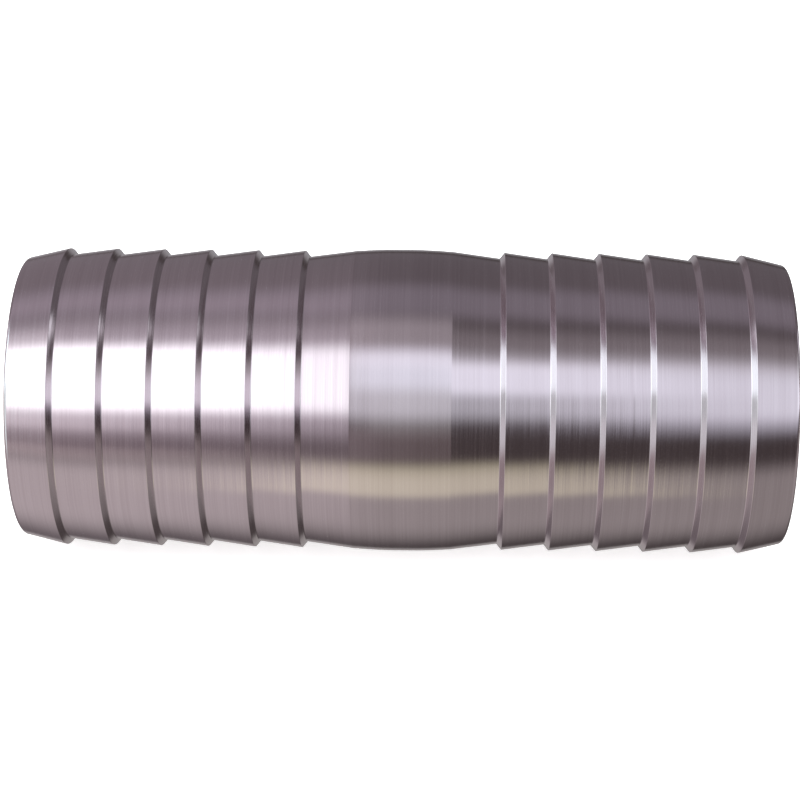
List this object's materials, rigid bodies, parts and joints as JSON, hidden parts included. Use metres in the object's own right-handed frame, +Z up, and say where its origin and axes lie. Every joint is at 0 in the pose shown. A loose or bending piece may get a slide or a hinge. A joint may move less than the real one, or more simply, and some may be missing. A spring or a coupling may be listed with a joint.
{
  "type": "hose mender",
  "caption": "Straight stainless steel hose mender: an open tube with sawtooth barbs on both ends and a plain, slightly crowned collar in the middle.",
  "frame": {"origin": "mid length, on the tube's axis", "axes": "+X along the tube's axis, +Z up as it lies on its side"},
  "size_m": [0.1016, 0.0406, 0.0406],
  "materials": {
    "turned_steel": "satin turned stainless steel with fine tool marks that run round the tube"
  },
  "bodies": {
    "root": {"mender_tube": "turned_steel"}
  },
  "joints": []
}
